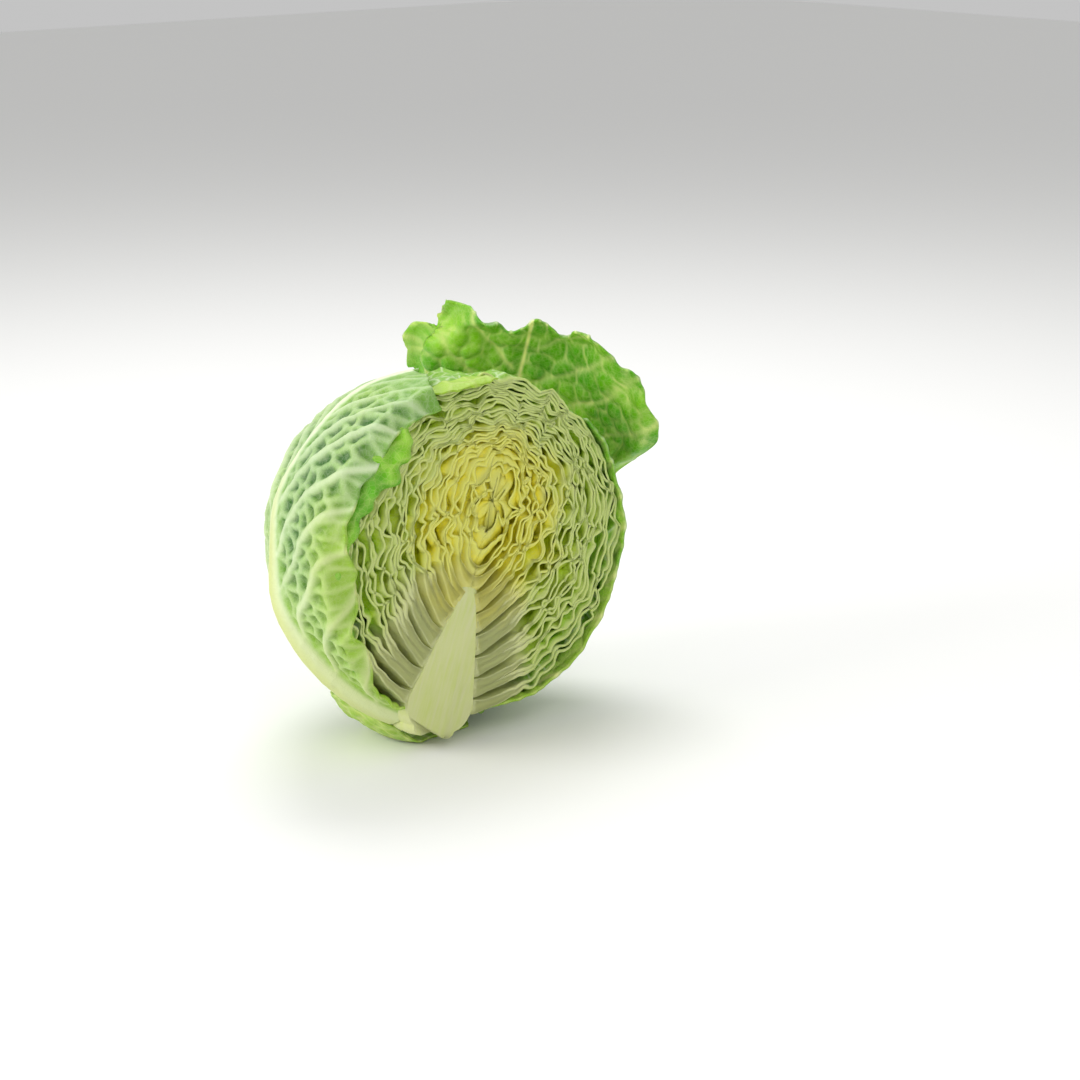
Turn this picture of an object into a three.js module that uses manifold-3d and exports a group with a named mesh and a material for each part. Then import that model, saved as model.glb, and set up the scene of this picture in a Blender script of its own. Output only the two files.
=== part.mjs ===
// Half a savoy cabbage head, cut lengthwise just in front of its core and standing on its loose bottom leaf.
// Millimetres, +Z up. The origin is the middle of the flat spot that the bottom leaf rests on, and the cut
// face looks along -Y. The head is an onion of leaf shells round a tapered core: every leaf is its own solid,
// kept clear of the next one by a small gap, and every leaf but the loose outer ones ends at the knife cut.

import * as THREE from "three";
import { mergeVertices } from "three/addons/utils/BufferGeometryUtils.js";
import Module from "manifold-3d";

const wasm = await Module();
wasm.setup();

// Driving dimensions of the head
const HEAD_RADIUS = 99; // half the width of the head, side to side
const HEAD_DEPTH_RADIUS = 100; // the same from front to back, where the wrappers are looser
const HEAD_HALF_HEIGHT = 90; // half the height along the core
const LEAN = 20; // degrees that the core leans towards +X
const HEART_BOTTOM = -10; // the leaves close in on the growing tip between these two heights,
const HEART_TOP = 42; // measured along the core from the head's middle
const PINCH = 1.2; // how far the inner leaves narrow to a point on the core
const CUT_BEFORE_CORE = 10; // from the core's axis forward to the knife cut

// Leaves packed in the head, as shares of the head's radius
const FIRST_LEAF_SHARE = 0.94;
const BUD_SHARE = 0.16; // where the packed leaves end and the growing tip begins
const LEAF_COUNT = 13; // layers: every other layer is two leaves that meet behind
const LEAF_PITCH = (FIRST_LEAF_SHARE - BUD_SHARE) / LEAF_COUNT; // from one packed leaf to the next
const LEAF_GAP_OF_PITCH = 0.2333; // free space between two layers, as a share of the pitch
const LEAF_GAP = LEAF_PITCH * LEAF_GAP_OF_PITCH;
const SEAM_GAP = 0.8; // mm between the two leaves of a layer
const SEAM_TURNS = [-17, 0, 17, -8.5, 8.5]; // degrees that the seams turn about the core, in this order
const BUD_GAP = 1.0; // mm between the growing tip and the last leaf

// Core and stem
const STEM_RADIUS = 17;
const STEM_LENGTH = 9; // of bare stem below the head
const CORE_SHOULDER_RADIUS = 24; // where the outer leaves join
const CORE_TIP_RADIUS = 8;
const CORE_HEIGHT = 84; // from the head's base to the tip of the core
const CORE_SHOULDER_HEIGHT = 0.12; // share of the core's height at which it is widest
const CORE_WAIST = { radius: 0.72, height: 0.42 }; // pulls the side in: shares of shoulder and height
const CORE_NECK = { radius: 1.5, height: 0.7 }; // the same nearer the tip: shares of tip and height
const CORE_CLEARANCE = 0.4;

// Loose leaves
const WRAPPER_LEFT = { share: 1.06, thick: 0.044, turn: 140, width: 84, above: 84, forward: 6 };
const WRAPPER_RIGHT = { share: 1.0, thick: 0.044, turn: 38, width: 82, above: 70, forward: 1.5 };
const BACK_LEAF = { share: 1.25, thick: 0.03, rise: 12, turn: 46, width: 84, above: 108 };
const BOTTOM_LEAF = { flatRadius: 34, rimRadius: 54, rimHeight: 15, thick: 4 };
// A leaf's outline seen from outside, as shares of its half width and of its height above the head's middle
const OUTLINE = { stem: 0.45, belly: 1.1, chest: 1.05, shoulder: 0.86, crown: 0.6 };
const OUTLINE_UP = { belly: 0.5, chest: 0.3, shoulder: 0.72, crown: 1.05 };
const OUTLINE_BELOW = 1.4; // the outline starts this share of the head's half height below its middle
const OUTLINE_START = 0.1; // and its prism this share of the head's radius behind the core
const MIDDLE_ASIDE = 8; // the head's middle stands this far along +X from the middle of the flat spot
const MIDDLE_FORWARD = 26; // and this far along -Y, so that its weight is over the flat spot
const UNDER_HEAD = 1.6; // what is left of the bottom leaf under the head's lowest point
const DISH_GAP = 0.004; // share of the head's radius between the bottom leaf and the head

// How finely round shapes are faceted
const ROUND_SEGMENTS = 16;
const ROUND_RINGS = 10;
const CORE_SEGMENTS = 16;
const DISH_SEGMENTS = 20;
const PROFILE_SEGMENTS = 4;
const OUTLINE_SEGMENTS = 6;
const FAR = 400; // larger than the head, for cutting blocks

const AXIS_Y = new THREE.Vector3(0, 1, 0);
const lean = THREE.MathUtils.degToRad(LEAN);

// Height of the head's middle above the table: the back leaf is the lowest of the leaves on the head.
const backLeafRadius = BACK_LEAF.share * Math.hypot(
  HEAD_HALF_HEIGHT * Math.cos(lean),
  HEAD_RADIUS * Math.sin(lean),
);
const MIDDLE_HEIGHT = UNDER_HEAD + backLeafRadius - BACK_LEAF.rise * Math.cos(lean);

// A closed three.js geometry as a manifold solid.
function solid(geometry) {
  const bare = geometry.clone();
  bare.deleteAttribute("normal");
  bare.deleteAttribute("uv");
  const merged = mergeVertices(bare, 1e-4);
  return new wasm.Manifold(
    new wasm.Mesh({
      numProp: 3,
      vertProperties: new Float32Array(merged.attributes.position.array),
      triVerts: new Uint32Array(merged.index.array),
    }),
  );
}

// The largest body of a cut solid, without the slivers that a cut can leave where two round faces graze.
function largest(body) {
  const pieces = body.decompose();
  return pieces.reduce((most, piece) => (piece.volume() > most.volume() ? piece : most));
}

// A manifold solid as a named mesh.
function leafMesh(name, body, colour, roughness) {
  const made = largest(body).getMesh();
  const geometry = new THREE.BufferGeometry();
  geometry.setAttribute("position", new THREE.BufferAttribute(made.vertProperties, 3));
  geometry.setIndex(new THREE.BufferAttribute(made.triVerts, 1));
  geometry.computeVertexNormals();
  const material = new THREE.MeshStandardMaterial({ color: colour, roughness, metalness: 0 });
  const mesh = new THREE.Mesh(geometry, material);
  mesh.name = name;
  return mesh;
}

// Puts a geometry made round the head's own middle, with the core along Z, where the leaning head stands.
function stand(geometry) {
  geometry.applyMatrix4(new THREE.Matrix4().makeRotationAxis(AXIS_Y, lean));
  geometry.translate(MIDDLE_ASIDE, -MIDDLE_FORWARD, MIDDLE_HEIGHT);
  return geometry;
}

// A closed egg round the core, from bottom to top along it, narrowing below to a point as pinch grows.
function egg(radius, depthRadius, bottom, top, pinch) {
  const round = new THREE.SphereGeometry(1, ROUND_SEGMENTS, ROUND_RINGS);
  round.rotateX(Math.PI / 2);
  const widest = 2 * Math.sqrt(1 / (2 + pinch)) * ((1 + pinch) / (2 + pinch)) ** ((1 + pinch) / 2);
  const points = round.attributes.position;
  for (let i = 0; i < points.count; i += 1) {
    const up = THREE.MathUtils.clamp(points.getZ(i), -1, 1);
    const narrowed = ((1 + up) / 2) ** (pinch / 2) / widest;
    points.setX(i, points.getX(i) * narrowed * radius);
    points.setY(i, points.getY(i) * narrowed * depthRadius);
    points.setZ(i, (top + bottom) / 2 + (up * (top - bottom)) / 2);
  }
  return solid(stand(round));
}

// The head's own shape at a share of its size: the nearer the heart, the more pointed and the higher.
function headShape(share) {
  return egg(
    share * HEAD_RADIUS,
    share * HEAD_DEPTH_RADIUS,
    -share * HEAD_HALF_HEIGHT + (1 - share) * HEART_BOTTOM,
    share * HEAD_HALF_HEIGHT + (1 - share) * HEART_TOP,
    PINCH * Math.max(0, 1 - share),
  );
}

// A rounder shape for a leaf that stands off the head, lifted along the core.
function looseShape(share, rise) {
  const halfHeight = share * HEAD_HALF_HEIGHT;
  return egg(share * HEAD_RADIUS, share * HEAD_DEPTH_RADIUS, rise - halfHeight, rise + halfHeight, 0);
}

// A block that holds everything on one side of an upright plane through the core, turned about the core.
function sideBlock(turn, gap) {
  const block = new THREE.BoxGeometry(FAR, FAR, FAR);
  block.translate(FAR / 2 + gap, 0, 0);
  block.rotateZ(THREE.MathUtils.degToRad(turn));
  return solid(stand(block));
}

// Everything that the knife took away, down to forward mm in front of the cut face.
function knife(forward) {
  const block = new THREE.BoxGeometry(FAR, FAR, FAR);
  block.translate(0, -FAR / 2 - MIDDLE_FORWARD - CUT_BEFORE_CORE - forward, MIDDLE_HEIGHT);
  return solid(block);
}

function coreGeometry(clearance) {
  const base = -HEAD_HALF_HEIGHT;
  const profile = new THREE.Path();
  profile.moveTo(0, base - STEM_LENGTH - clearance);
  profile.lineTo(STEM_RADIUS + clearance, base - STEM_LENGTH - clearance);
  profile.lineTo(STEM_RADIUS + clearance, base - STEM_LENGTH / 2);
  profile.quadraticCurveTo(
    CORE_SHOULDER_RADIUS + clearance, base,
    CORE_SHOULDER_RADIUS + clearance, base + CORE_HEIGHT * CORE_SHOULDER_HEIGHT,
  );
  profile.bezierCurveTo(
    CORE_SHOULDER_RADIUS * CORE_WAIST.radius + clearance, base + CORE_HEIGHT * CORE_WAIST.height,
    CORE_TIP_RADIUS * CORE_NECK.radius + clearance, base + CORE_HEIGHT * CORE_NECK.height,
    CORE_TIP_RADIUS + clearance, base + CORE_HEIGHT - CORE_TIP_RADIUS,
  );
  profile.quadraticCurveTo(
    CORE_TIP_RADIUS + clearance, base + CORE_HEIGHT + clearance,
    0, base + CORE_HEIGHT + clearance,
  );
  const points = profile.getPoints(PROFILE_SEGMENTS);
  points[0].x = 0;
  points[points.length - 1].x = 0;
  const lathe = new THREE.LatheGeometry(points, CORE_SEGMENTS);
  lathe.rotateX(Math.PI / 2);
  return stand(lathe);
}

// The outline of one leaf seen from its outer side: narrow at the stem, broad and round above.
function leafPrism({ turn, width, above }) {
  const base = -HEAD_HALF_HEIGHT * OUTLINE_BELOW;
  const stem = width * OUTLINE.stem;
  const belly = [width * OUTLINE.belly, base * OUTLINE_UP.belly];
  const chest = [width * OUTLINE.chest, above * OUTLINE_UP.chest];
  const shoulder = [width * OUTLINE.shoulder, above * OUTLINE_UP.shoulder];
  const crown = [width * OUTLINE.crown, above * OUTLINE_UP.crown];
  const outline = new THREE.Shape();
  outline.moveTo(-stem, base);
  outline.lineTo(stem, base);
  outline.bezierCurveTo(...belly, ...chest, ...shoulder);
  outline.quadraticCurveTo(...crown, 0, above);
  outline.quadraticCurveTo(-crown[0], crown[1], -shoulder[0], shoulder[1]);
  outline.bezierCurveTo(-chest[0], chest[1], -belly[0], belly[1], -stem, base);
  const prism = new THREE.ExtrudeGeometry(outline, {
    depth: FAR,
    bevelEnabled: false,
    curveSegments: OUTLINE_SEGMENTS,
  });
  prism.translate(0, 0, -HEAD_RADIUS * OUTLINE_START);
  prism.rotateX(Math.PI / 2);
  prism.rotateZ(THREE.MathUtils.degToRad(turn + 90));
  return solid(stand(prism));
}

const coreRoom = solid(coreGeometry(CORE_CLEARANCE));
const cut = knife(0);

// One of the leaves round the packed ones: part of a shell, inside the leaf's own outline.
function outerLeaf(spec) {
  const { share, thick, rise, forward = 0 } = spec;
  const outer = rise === undefined ? headShape(share) : looseShape(share, rise);
  const inner = rise === undefined ? headShape(share - thick) : looseShape(share - thick, rise);
  return outer.subtract(inner).intersect(leafPrism(spec)).subtract(coreRoom).subtract(knife(forward));
}

// The dish that the head stands in: the loose leaf pressed flat on the table, its margin curling up.
function bottomLeaf() {
  const { flatRadius, rimRadius, rimHeight, thick } = BOTTOM_LEAF;
  const profile = new THREE.Path();
  profile.moveTo(0, 0);
  profile.lineTo(flatRadius, 0);
  profile.quadraticCurveTo(rimRadius, 0, rimRadius, rimHeight);
  profile.lineTo(rimRadius - thick, rimHeight);
  profile.quadraticCurveTo(rimRadius - thick, thick, flatRadius - thick, thick);
  profile.lineTo(0, thick);
  const dish = new THREE.LatheGeometry(profile.getPoints(PROFILE_SEGMENTS), DISH_SEGMENTS);
  dish.rotateX(Math.PI / 2);
  const headRoom = looseShape(BACK_LEAF.share + DISH_GAP, BACK_LEAF.rise);
  return solid(dish).subtract(headRoom).subtract(coreRoom).subtract(cut);
}

// Inner leaves run from deep green outside to yellow at the growing tip.
const RIM_GREEN = new THREE.Color("#8fb04a");
const HEART_YELLOW = new THREE.Color("#d9cf66");
const CORE_CREAM = "#f1efd2";
const BUD_YELLOW = "#e0d46c";
const WRAPPER_GREEN = "#84ad56";
const OPEN_GREEN = "#63a113";
const LOOSE_GREEN = "#a9cb52";
const MATTE = 0.55; // roughness of the packed leaves
const WAXY = 0.5;
const GLOSSY = 0.45;

function packedLeaves() {
  const leaves = [];
  for (let layer = 0; layer < LEAF_COUNT; layer += 1) {
    const share = FIRST_LEAF_SHARE - layer * LEAF_PITCH;
    const colour = RIM_GREEN.clone().lerp(HEART_YELLOW, layer / (LEAF_COUNT - 1));
    const whole = headShape(share)
      .subtract(headShape(share - LEAF_PITCH + LEAF_GAP))
      .subtract(cut)
      .subtract(coreRoom);
    const label = String(layer + 1).padStart(2, "0");
    if (layer % 2 === 0) {
      leaves.push(leafMesh(`head_leaf_${label}`, whole, colour, MATTE));
      continue;
    }
    const turn = SEAM_TURNS[layer % SEAM_TURNS.length];
    const right = whole.intersect(sideBlock(turn, SEAM_GAP / 2));
    const left = whole.intersect(sideBlock(turn + 180, SEAM_GAP / 2));
    leaves.push(leafMesh(`head_leaf_${label}_right`, right, colour, MATTE));
    leaves.push(leafMesh(`head_leaf_${label}_left`, left, colour, MATTE));
  }
  return leaves;
}

// The growing tip fills the last leaf.
function growingTip() {
  const share = BUD_SHARE + LEAF_GAP - BUD_GAP / HEAD_RADIUS;
  return headShape(share).subtract(cut).subtract(coreRoom);
}

const head = new THREE.Group();
head.add(leafMesh("core", solid(coreGeometry(0)).subtract(cut), CORE_CREAM, WAXY));
head.add(leafMesh("growing_tip", growingTip(), BUD_YELLOW, MATTE));
head.add(...packedLeaves());
head.add(leafMesh("wrapper_leaf_right", outerLeaf(WRAPPER_RIGHT), WRAPPER_GREEN, WAXY));
head.add(leafMesh("wrapper_leaf_left", outerLeaf(WRAPPER_LEFT), WRAPPER_GREEN, WAXY));
head.add(leafMesh("back_leaf", outerLeaf(BACK_LEAF), OPEN_GREEN, GLOSSY));
head.add(leafMesh("bottom_leaf", bottomLeaf(), LOOSE_GREEN, GLOSSY));

export default head;
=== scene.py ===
# Half a savoy cabbage head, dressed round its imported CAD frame: every leaf of the frame is replaced by a
# crinkled leaf in the same place. Laid out as a Blender add-on and run as a script. Metres, +Z up.

import itertools
import math

import bmesh
import bpy
import numpy as np
from bpy.props import FloatProperty, FloatVectorProperty, IntProperty, PointerProperty
from mathutils import Matrix, Vector


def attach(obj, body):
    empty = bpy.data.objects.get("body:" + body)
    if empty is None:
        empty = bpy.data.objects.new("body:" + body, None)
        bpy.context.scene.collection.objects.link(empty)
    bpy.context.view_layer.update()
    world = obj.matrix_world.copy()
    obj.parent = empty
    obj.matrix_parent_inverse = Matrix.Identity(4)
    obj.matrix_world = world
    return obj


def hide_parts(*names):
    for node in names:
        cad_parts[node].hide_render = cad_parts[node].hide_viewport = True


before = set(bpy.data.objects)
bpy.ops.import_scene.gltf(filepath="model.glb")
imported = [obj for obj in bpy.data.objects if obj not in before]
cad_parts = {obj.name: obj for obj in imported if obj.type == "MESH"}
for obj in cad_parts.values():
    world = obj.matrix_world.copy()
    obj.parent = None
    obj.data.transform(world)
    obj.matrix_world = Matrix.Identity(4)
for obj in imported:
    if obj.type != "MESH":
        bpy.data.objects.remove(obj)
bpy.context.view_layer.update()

bl_info = {
    "name": "Savoy cabbage half head",
    "version": (1, 0, 0),
    "blender": (4, 5, 0),
    "location": "View3D > Sidebar > Cabbage",
    "description": "Builds the crinkled leaves, core and stage of half a savoy cabbage round its frame",
    "category": "Object",
}

MM = 0.001

# The core's own measures, the same as those of its frame solid
CORE_SHOULDER_RADIUS = 0.024  # where the outer leaves join
CORE_TIP_RADIUS = 0.008
CORE_HEIGHT = 0.084  # from the head's base to the tip of the core
CORE_SHOULDER_HEIGHT = 0.12  # share of the core's height at which it is widest
CORE_WAIST = (0.42, 0.72)  # pulls the side in: share of the height, share of the shoulder's radius
CORE_NECK = (0.7, 1.5)  # the same nearer the tip: share of the height, share of the tip's radius
# The stem's rounded end: distance below the head's base, radius
STEM_ROUND = ((0.009, 0.0125), (0.0082, 0.0152), (0.0066, 0.0166), (0.0045, 0.017))
STEM_END = 0.099  # from the head's middle down to the end of the stem
BOTTOM_LEAF_FRONT = -0.0355  # the bottom leaf ends just behind the cut


# ---------------------------------------------------------------- sizes and colours that a user may change

def length(name, default, about):
    """A property for a length in metres."""
    return FloatProperty(name=name, description=about, default=default, unit="LENGTH")


def plain_number(name, default, about):
    """A property for a share or another plain number."""
    return FloatProperty(name=name, description=about, default=default)


class HeadSizes(bpy.types.PropertyGroup):
    """The head's own measures, the same as those of the frame's solids"""
    radius: length("Radius", 0.099, "Half the width of the head")
    depth_radius: length("Depth radius", 0.100, "The same from front to back")
    half_height: length("Half height", 0.090, "Half the height along the core")
    lean: FloatProperty(name="Lean", description="How far the core leans to the right",
                        default=math.radians(20), subtype="ANGLE")
    heart_bottom: length("Heart bottom", -0.010, "Where the inner leaves close in, below")
    heart_top: length("Heart top", 0.042, "Where the inner leaves close in, above")
    pinch: plain_number("Pinch", 1.2, "How far the inner leaves narrow to a point on the core")
    cut_before_core: length("Cut before core", 0.010, "From the core's axis to the cut")
    middle: FloatVectorProperty(name="Middle", description="The middle of the head", size=3,
                                default=(0.008, -0.026, 0.1031), subtype="XYZ_LENGTH")


class LeafSizes(bpy.types.PropertyGroup):
    """How the leaves are packed and crinkled"""
    first_share: plain_number("First leaf", 0.94, "Share of the head's radius of the outermost")
    pitch: plain_number("Pitch", 0.06, "Share of the radius from one leaf to the next")
    count: IntProperty(name="Layers", description="Layers of packed leaves", default=13)
    blade: length("Blade", 0.0012, "Thickness of a leaf between its veins")
    rib: length("Rib", 0.0036, "Thickness that a leaf gains where it joins the core")
    crumple: length("Crumple", 0.0034, "How far the packed leaves fold aside")
    blister: length("Blister", 0.0105, "Distance across one blister of an outer leaf")
    blister_depth: length("Blister depth", 0.0031, "How deep the blisters are")


def colour(name, hex_code, about):
    """A colour property from an sRGB hex value."""
    return FloatVectorProperty(name=name, description=about, subtype="COLOR", size=3, min=0, max=1,
                               default=linear(hex_code))


def linear(hex_code):
    """The linear colour of an sRGB hex value such as "#aabbcc"."""
    shares = [int(hex_code[i:i + 2], 16) / 255 for i in (1, 3, 5)]
    return tuple(s / 12.92 if s <= 0.04045 else ((s + 0.055) / 1.055) ** 2.4 for s in shares)


class LeafColours(bpy.types.PropertyGroup):
    """Colours of the leaves, from the loose ones to the heart"""
    rib: colour("Rib", "#d0d596", "Thick ribs, cream white")
    core: colour("Core", "#cccf9e", "Cut core")
    cut_edge: colour("Cut edge", "#c6d484", "Edges of the leaves where the knife went through")
    heart: colour("Heart", "#efe44c", "Blades of the heart leaves")
    # Painted shade: a more saturated heart colour for the blades down between the folds
    heart_hollow_shade: colour("Heart hollows", "#efe60c", "The same, down between the folds")
    inner: colour("Inner", "#b9cc48", "Blades of the inner leaves")
    # Painted shade: a more saturated inner colour for the blades down between the folds
    inner_hollow_shade: colour("Inner hollows", "#b6d318", "The same, down between the folds")
    head: colour("Head", "#9dc434", "Blades of the outer packed leaves")
    # Painted shade: a darker, more saturated head colour for the blades down between the folds
    head_hollow_shade: colour("Head hollows", "#88bd0c", "The same, down between the folds")
    wrapper: colour("Wrapper", "#64a02a", "Underside of the wrappers")
    # Partly the pits' own deeper green, partly painted shade in the hollows between the veins
    wrapper_pit_and_shade: colour("Wrapper pits", "#286608", "Hollows between the wrappers' veins")
    wrapper_vein: colour("Wrapper veins", "#e2edc8", "Raised veins of the wrappers")
    open_leaf: colour("Open leaf", "#52a600", "Upper side of the open leaf")
    open_light: colour("Open leaf, lighter", "#8cc81e", "Lighter parts of its upper side")
    open_vein: colour("Open leaf veins", "#f2f4a0", "Sunken veins of the open leaf")


# ---------------------------------------------------------------- shape helpers

GRADIENTS = np.random.default_rng(7).normal(size=(4096, 3))
GRADIENTS /= np.linalg.norm(GRADIENTS, axis=1, keepdims=True)


def noise(points, size, seed):
    """Smooth noise between about -1 and 1 at points, with bumps about size across."""
    at = points / size + 31.7 * seed
    cell = np.floor(at).astype(np.int64)
    part = at - cell
    blend = part ** 3 * (part * (part * 6 - 15) + 10)
    total = 0.0
    for corner in itertools.product((0, 1), repeat=3):
        key = cell + corner
        mix = (key[..., 0] * 73856093) ^ (key[..., 1] * 19349663) ^ (key[..., 2] * 83492791)
        mix = ((mix ^ (mix >> 13)) * 1274126177) & 0x7FFFFFFF
        weight = np.prod(np.where(corner, blend, 1 - blend), axis=-1)
        total = total + weight * np.sum(GRADIENTS[mix >> 9 & 4095] * (part - corner), axis=-1)
    return total * 1.6


def smooth(value, low, high):
    """0 below low, 1 above high and a soft step between."""
    t = np.clip((value - low) / (high - low), 0, 1)
    return t * t * (3 - 2 * t)


def sizes():
    """The three groups of settings."""
    scene = bpy.context.scene
    return scene.cabbage_head, scene.cabbage_leaves, scene.cabbage_colours


def to_world(points):
    """Points of the head's own space, with the core along Z, in the row's space."""
    head = sizes()[0]
    turn = np.array(Matrix.Rotation(head.lean, 3, "Y"))
    return points @ turn.T + np.array(head.middle)


def egg_numbers(share):
    """Pinch, widest value, middle and half length of the head's shape at a share of its size."""
    head = sizes()[0]
    pinch = head.pinch * np.maximum(0, 1 - share)
    widest = 2 * np.sqrt(1 / (2 + pinch)) * ((1 + pinch) / (2 + pinch)) ** ((1 + pinch) / 2)
    bottom = -share * head.half_height + (1 - share) * head.heart_bottom
    top = share * head.half_height + (1 - share) * head.heart_top
    return pinch, widest, (top + bottom) / 2, (top - bottom) / 2


def section_point(share, angle, depth):
    """Where the head's shape at share meets a ray at angle from upright, in the upright slice at depth.

    The ray starts at the widest height of the shape, so each slice is met once.
    """
    head = sizes()[0]
    pinch, widest, middle, half = egg_numbers(share)
    start = pinch / (pinch + 2)
    across, up = np.sin(angle), np.cos(angle)
    low, high = np.zeros_like(angle), np.full_like(angle, 0.2)
    for _ in range(34):
        reach = (low + high) / 2
        height = start + reach * up / half
        inside = np.clip(1 - height ** 2, 0, None) * np.clip((1 + height) / 2, 0, None) ** pinch / widest ** 2
        outside = (reach * across / (share * head.radius)) ** 2 + (depth / (share * head.depth_radius)) ** 2
        beyond = outside > inside
        high = np.where(beyond, reach, high)
        low = np.where(beyond, low, reach)
    reach = (low + high) / 2
    return np.stack([reach * across, depth + 0 * reach, middle + half * start + reach * up], axis=-1)


def egg_point(share, longitude, latitude, rise=None):
    """A point of the head's shape; latitude runs from 0 at the stem to pi at the top.

    With a rise the shape is the rounder one of a leaf that stands off the head.
    """
    head = sizes()[0]
    up = -np.cos(latitude)
    if rise is None:
        pinch, widest, middle, half = egg_numbers(share)
        narrowed = ((1 + up) / 2) ** (pinch / 2) / widest
    else:
        narrowed, middle, half = 1.0, rise, share * head.half_height
    round_part = np.sin(latitude) * narrowed * share
    return np.stack([round_part * np.cos(longitude) * head.radius,
                     round_part * np.sin(longitude) * head.depth_radius,
                     middle + half * up], axis=-1)


def core_profile():
    """Heights along the core and its radius there, in the head's own space."""
    base = -sizes()[0].half_height
    height, shoulder, tip = CORE_HEIGHT, CORE_SHOULDER_RADIUS, CORE_TIP_RADIUS
    t = np.linspace(0, 1, 12)[:, None]
    stem = np.array([[base - below, radius] for below, radius in STEM_ROUND])
    widest = np.array([base + CORE_SHOULDER_HEIGHT * height, shoulder])
    waist = np.array([base + CORE_WAIST[0] * height, CORE_WAIST[1] * shoulder])
    neck = np.array([base + CORE_NECK[0] * height, CORE_NECK[1] * tip])
    round_start = np.array([base + height - tip, tip])
    bend = (1 - t) ** 2 * stem[-1] + 2 * t * (1 - t) * [base, shoulder] + t ** 2 * widest
    side = ((1 - t) ** 3 * widest + 3 * t * (1 - t) ** 2 * waist + 3 * t ** 2 * (1 - t) * neck
            + t ** 3 * round_start)
    top = ((1 - t) ** 2 * round_start + 2 * t * (1 - t) * [base + height, tip]
           + t ** 2 * [base + height, 0.0])
    return np.concatenate([stem, bend[1:], side[1:], top[1:]])


def in_core(points, overlap):
    """Which points lie in the core, further than the overlap from its side in their slice."""
    profile = core_profile()
    radius = np.interp(points[..., 2], profile[:, 0], profile[:, 1], left=0, right=0)
    half_width = np.sqrt(np.clip(radius ** 2 - points[..., 1] ** 2, 0, None))
    return np.abs(points[..., 0]) < half_width - np.minimum(overlap, 0.5 * half_width)


# ---------------------------------------------------------------- mesh helpers

def unit_grid(rows, columns, first=0.0):
    """Two grids: u runs from first to 1 along each row, v from 0 to 1 from row to row."""
    v = np.linspace(0, 1, rows)[:, None] * np.ones((1, columns))
    u = np.linspace(first, 1, columns)[None, :] * np.ones((rows, 1))
    return u, v


def outward(point):
    """Directions away from the head at each point of a grid."""
    along = np.gradient(point, axis=0)
    across = np.gradient(point, axis=1)
    normal = np.cross(across, along)
    return normal / (np.linalg.norm(normal, axis=-1, keepdims=True) + 1e-12)


def sheet_object(name, middle, outer, inner, flat_start, marks):
    """A closed leaf sheet on a grid of points, as an object in the row's space.

    middle is rows x columns x 3. outer and inner say how far the two faces stand from it. On the first row
    the faces keep their depth where flat_start is set, so that a cut edge stays flat. marks are values per
    point: a pair gives its value on the outer face and on the inner one.
    """
    rows, columns = middle.shape[:2]
    normal = outward(middle)
    if flat_start:
        keep = smooth(middle[..., 1] - middle[:1, :, 1], 0, 0.006)
        normal[..., 1] *= keep
        normal /= np.linalg.norm(normal, axis=-1, keepdims=True) + 1e-12
    faces_out = middle + normal * outer[..., None]
    faces_in = middle - normal * inner[..., None]
    points = to_world(np.concatenate([faces_out.reshape(-1, 3), faces_in.reshape(-1, 3)]))
    index = np.arange(rows * columns).reshape(rows, columns)
    back = index + rows * columns
    quads = [np.stack([index[:-1, :-1], index[:-1, 1:], index[1:, 1:], index[1:, :-1]], -1),
             np.stack([back[:-1, :-1], back[1:, :-1], back[1:, 1:], back[:-1, 1:]], -1),
             np.stack([index[0, :-1], back[0, :-1], back[0, 1:], index[0, 1:]], -1),
             np.stack([index[-1, :-1], index[-1, 1:], back[-1, 1:], back[-1, :-1]], -1),
             np.stack([index[:-1, 0], index[1:, 0], back[1:, 0], back[:-1, 0]], -1),
             np.stack([index[:-1, -1], back[:-1, -1], back[1:, -1], index[1:, -1]], -1)]
    quads = np.concatenate([q.reshape(-1, 4) for q in quads])
    values = {}
    for mark, value in marks.items():
        pair = value if isinstance(value, tuple) else (value, value)
        values[mark] = np.concatenate([v.reshape(-1) for v in pair])
    return mesh_object(name, points, quads, values)


def mesh_object(name, points, quads, values):
    """An object from points, faces and a float value per point for each named mark."""
    mesh = bpy.data.meshes.new(name)
    mesh.vertices.add(len(points))
    mesh.vertices.foreach_set("co", points.astype(np.float32).ravel())
    mesh.loops.add(quads.size)
    mesh.loops.foreach_set("vertex_index", quads.astype(np.int32).ravel())
    mesh.polygons.add(len(quads))
    mesh.polygons.foreach_set("loop_start", np.arange(0, quads.size, 4, dtype=np.int32))
    mesh.update(calc_edges=True)
    for mark, value in values.items():
        layer = mesh.attributes.new(mark, "FLOAT", "POINT")
        layer.data.foreach_set("value", value.astype(np.float32))
    piece = bpy.data.objects.new(name, mesh)
    bpy.context.collection.objects.link(piece)
    shape = bmesh.new()
    shape.from_mesh(mesh)
    bmesh.ops.remove_doubles(shape, verts=shape.verts, dist=1e-6)
    shape.to_mesh(mesh)
    shape.free()
    mesh.shade_smooth()
    return piece


def join_objects(name, parts):
    """One object from several, under a new name."""
    bpy.ops.object.select_all(action="DESELECT")
    for part in parts:
        part.select_set(True)
    bpy.context.view_layer.objects.active = parts[0]
    if len(parts) > 1:
        bpy.ops.object.join()
    parts[0].name = name
    parts[0].data.name = name
    return parts[0]


def settle(piece, nodes, material):
    """The piece rides on the row's body, stands for its frame solids and takes its finish."""
    piece.data.materials.clear()
    piece.data.materials.append(material)
    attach(piece, "root")
    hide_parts(*nodes)


# ---------------------------------------------------------------- materials

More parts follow.
